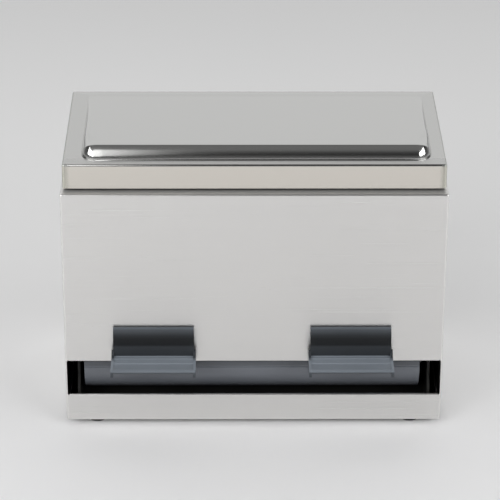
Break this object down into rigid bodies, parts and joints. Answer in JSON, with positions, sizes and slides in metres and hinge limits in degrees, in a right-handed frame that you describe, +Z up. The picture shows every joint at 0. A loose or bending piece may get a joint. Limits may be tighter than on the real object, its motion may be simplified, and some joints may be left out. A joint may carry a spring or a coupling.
{
  "type": "drinking straw dispenser with press levers",
  "caption": "Sheet steel drinking straw dispenser: a hinged lid over a sloping hopper, and a grooved drum that press levers turn to drop a straw behind the front slot.",
  "frame": {"origin": "on the table plane, under the middle of the bounding box of the closed dispenser with its levers up", "axes": "+X along the drum to the right as seen from the front, +Y from the front slot to the hinge, +Z up"},
  "size_m": [0.226, 0.1415, 0.1796],
  "materials": {
    "brushed_shell": "fine horizontal brush on polished stainless sheet",
    "brushed_lid": "fine brushed stainless sheet, pressed",
    "inner_steel": "plain mill finish sheet",
    "black_cheek": "matt black coating",
    "dark_tray": "matt black coating",
    "hinge_steel": "rolled stainless strip",
    "rivet_steel": "set rivet heads",
    "axle_steel": "ground bright bar",
    "spring_steel": "oiled spring wire",
    "bright_fastener": "zinc plated",
    "drum_plastic": "blue grey moulded plastic, satin",
    "lever_plastic": "blue grey moulded plastic, satin",
    "bush_nylon": "natural nylon",
    "black_rubber": "matt black rubber"
  },
  "bodies": {
    "case": {"outer_shell": "brushed_shell", "back_panel": "brushed_shell", "base_plate": "inner_steel", "foot_front_left": "black_rubber", "foot_front_right": "black_rubber", "foot_rear_left": "black_rubber", "foot_rear_right": "black_rubber", "cheek_left": "black_cheek", "cheek_right": "black_cheek", "cheek_screws": "bright_fastener", "cheek_nuts": "bright_fastener", "bush_left": "bush_nylon", "bush_right": "bush_nylon", "hopper_floor": "inner_steel", "straw_tray": "dark_tray", "return_spring_left": "spring_steel", "return_spring_right": "spring_steel", "lid_bumpers": "black_rubber", "hinge_leaf_body": "hinge_steel", "hinge_rivets_body": "rivet_steel", "hinge_pin": "axle_steel"},
    "drum": {"drum": "drum_plastic", "drum_cap_left": "drum_plastic", "drum_cap_right": "drum_plastic", "axle": "axle_steel", "axle_clips": "bright_fastener", "lever_left": "lever_plastic", "lever_right": "lever_plastic", "lever_screws": "bright_fastener"},
    "lid": {"lid": "brushed_lid", "hinge_leaf_lid": "hinge_steel", "hinge_rivets_lid": "rivet_steel"}
  },
  "joints": [
    {"name": "lever_press", "type": "hinge", "parent": "case", "child": "drum", "pos_m": [0, -0.02285, 0.0382], "axis": [1, 0, 0], "range_deg": [0, 35], "stiffness_Nm_per_rad": 0.06, "springref_deg": -57.3, "deforming": ["return_spring_left", "return_spring_right"]},
    {"name": "lid_hinge", "type": "hinge", "parent": "case", "child": "lid", "pos_m": [0, 0.06895, 0.15435], "axis": [-1, 0, 0], "range_deg": [0, 180]}
  ]
}
